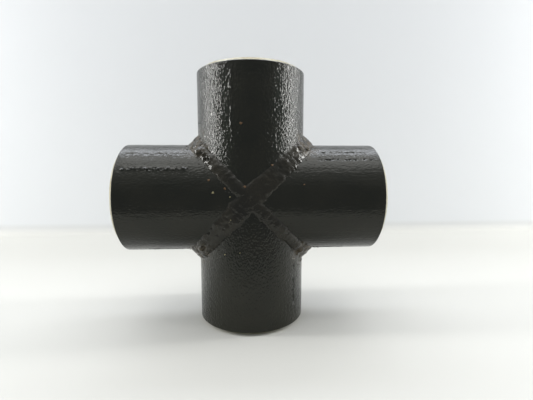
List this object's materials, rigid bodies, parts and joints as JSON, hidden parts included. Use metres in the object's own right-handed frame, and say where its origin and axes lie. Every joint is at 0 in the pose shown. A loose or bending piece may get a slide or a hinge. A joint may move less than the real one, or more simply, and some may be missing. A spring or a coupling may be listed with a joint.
{
  "type": "pipe cross fitting",
  "caption": "Cross pipe fitting fabricated from mitred pipe stubs welded along crossing seams, with bevelled ends for butt welding to pipe.",
  "frame": {"origin": "where the centrelines of the bores cross, at the middle of the fitting", "axes": "+Z along the top stub, +X along the right stub, -Y towards the front face, where the mitred points meet"},
  "size_m": [0.1142, 0.051, 0.1142],
  "materials": {
    "painted_pipe": "thick black semi-gloss paint over mill-rolled steel pipe",
    "painted_weld": "thick black semi-gloss paint over rippled weld metal",
    "bare_weld": "bare weld metal with a brown film of rust"
  },
  "bodies": {
    "root": {"top_stub": "painted_pipe", "right_stub": "painted_pipe", "bottom_stub": "painted_pipe", "left_stub": "painted_pipe", "cap_run_front_rising": "painted_weld", "cap_run_front_top_left": "painted_weld", "cap_run_front_bottom_right": "painted_weld", "cap_run_back_rising": "painted_weld", "cap_run_back_top_left": "painted_weld", "cap_run_back_bottom_right": "painted_weld", "crotch_weld_top_right": "painted_weld", "crotch_weld_bottom_left": "painted_weld", "crotch_weld_top_left": "painted_weld", "crotch_weld_bottom_right": "painted_weld", "root_run_front_rising": "bare_weld", "root_run_front_top_left": "bare_weld", "root_run_front_bottom_right": "bare_weld", "root_run_back_rising": "bare_weld", "root_run_back_top_left": "bare_weld", "root_run_back_bottom_right": "bare_weld"}
  },
  "joints": []
}
